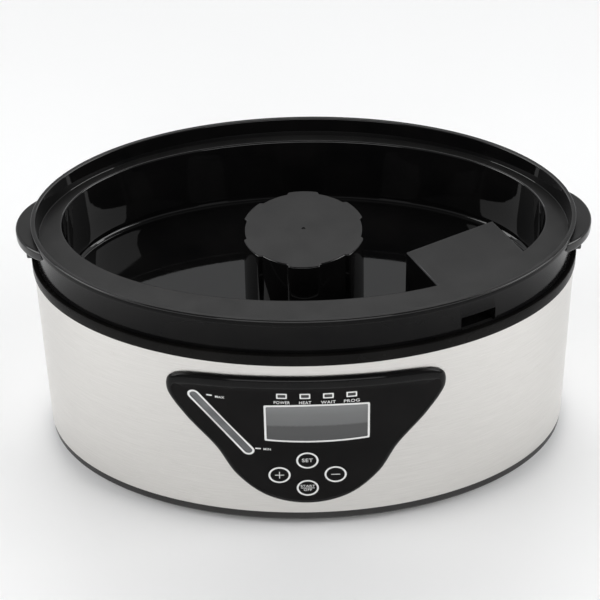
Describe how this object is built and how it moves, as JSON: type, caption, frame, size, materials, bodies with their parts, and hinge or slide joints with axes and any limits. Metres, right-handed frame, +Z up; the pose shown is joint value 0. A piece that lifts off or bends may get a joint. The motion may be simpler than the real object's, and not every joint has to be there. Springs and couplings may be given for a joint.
{
  "type": "yogurt maker",
  "caption": "Oval steel-sided yogurt maker base with a glossy black jar tray, central steam cap, side water inlet, end handles and a raised front control panel with display, buttons and gauge.",
  "frame": {"origin": "centre of the oval body, on the surface that the feet stand on", "axes": "+X along the length towards the water inlet side's end, -Y out of the control panel, +Z up"},
  "size_m": [0.4, 0.2396, 0.1905],
  "materials": {
    "gloss_black": "high gloss moulded plastic",
    "satin_black": "satin moulded plastic",
    "brushed_steel": "fine horizontal brushing",
    "aluminium": "cast, satin",
    "zinc_plated": "zinc plated steel",
    "black_rubber": "matt",
    "silicone": "translucent white silicone",
    "clear_window": "clear acrylic",
    "circuit_board": "solder mask over glass fibre",
    "white_plastic": "moulded polypropylene",
    "grey_plastic": "moulded plastic",
    "red_float": "moulded foam plastic",
    "transformer_iron": "varnished laminations"
  },
  "bodies": {
    "base_unit": {"base_pan": "satin_black", "base_screw_front_left": "zinc_plated", "base_screw_front_right": "zinc_plated", "base_screw_rear_left": "zinc_plated", "base_screw_rear_right": "zinc_plated", "board_screw_1": "zinc_plated", "board_screw_2": "zinc_plated", "buzzer": "satin_black", "control_panel": "gloss_black", "cord_gland": "black_rubber", "display_board": "circuit_board", "foot_front_left": "black_rubber", "foot_front_right": "black_rubber", "foot_rear_left": "black_rubber", "foot_rear_right": "black_rubber", "gauge_hose": "silicone", "gauge_tube": "clear_window", "gauge_window": "clear_window", "heater_clamp": "zinc_plated", "heater_gasket": "silicone", "heater_plate": "aluminium", "heater_screw_left": "zinc_plated", "heater_screw_right": "zinc_plated", "heating_element": "brushed_steel", "inlet_chute": "satin_black", "lcd_module": "grey_plastic", "lcd_window": "clear_window", "led_lens_heat": "clear_window", "led_lens_power": "clear_window", "led_lens_program": "clear_window", "led_lens_wait": "clear_window", "left_handle": "gloss_black", "left_handle_screw": "zinc_plated", "panel_retainer": "satin_black", "power_board": "circuit_board", "relay": "white_plastic", "reservoir_gasket": "silicone", "reservoir_screw_1": "zinc_plated", "reservoir_screw_2": "zinc_plated", "reservoir_screw_3": "zinc_plated", "reservoir_screw_4": "zinc_plated", "right_handle": "gloss_black", "right_handle_screw": "zinc_plated", "steel_shell": "brushed_steel", "switch_minus": "grey_plastic", "switch_plus": "grey_plastic", "switch_set": "grey_plastic", "switch_start": "grey_plastic", "thermal_fuse": "white_plastic", "thermostat": "grey_plastic", "transformer": "transformer_iron", "trim_ring": "satin_black", "upper_housing": "gloss_black", "water_reservoir": "white_plastic"},
    "steam_cap": {"steam_cap": "gloss_black"},
    "gauge_float": {"gauge_float": "red_float"},
    "button_set": {"button_set": "gloss_black"},
    "button_plus": {"button_plus": "gloss_black"},
    "button_minus": {"button_minus": "gloss_black"},
    "button_start": {"button_start": "gloss_black"}
  },
  "joints": [
    {"name": "steam_cap_lift", "type": "slide", "parent": "base_unit", "child": "steam_cap", "axis": [0, 0, 1], "range_m": [0, 0.08]},
    {"name": "gauge_float_slide", "type": "slide", "parent": "base_unit", "child": "gauge_float", "axis": [-0.603, 0.1194, 0.7887], "range_m": [0, 0.0541]},
    {"name": "set_press", "type": "slide", "parent": "base_unit", "child": "button_set", "axis": [0, 1, 0], "range_m": [0, 0.0009], "stiffness_N_per_m": 900, "springref_m": -0.0006},
    {"name": "plus_press", "type": "slide", "parent": "base_unit", "child": "button_plus", "axis": [0, 1, 0], "range_m": [0, 0.0009], "stiffness_N_per_m": 900, "springref_m": -0.0006},
    {"name": "minus_press", "type": "slide", "parent": "base_unit", "child": "button_minus", "axis": [0, 1, 0], "range_m": [0, 0.0009], "stiffness_N_per_m": 900, "springref_m": -0.0006},
    {"name": "start_press", "type": "slide", "parent": "base_unit", "child": "button_start", "axis": [0, 1, 0], "range_m": [0, 0.0009], "stiffness_N_per_m": 900, "springref_m": -0.0006}
  ]
}
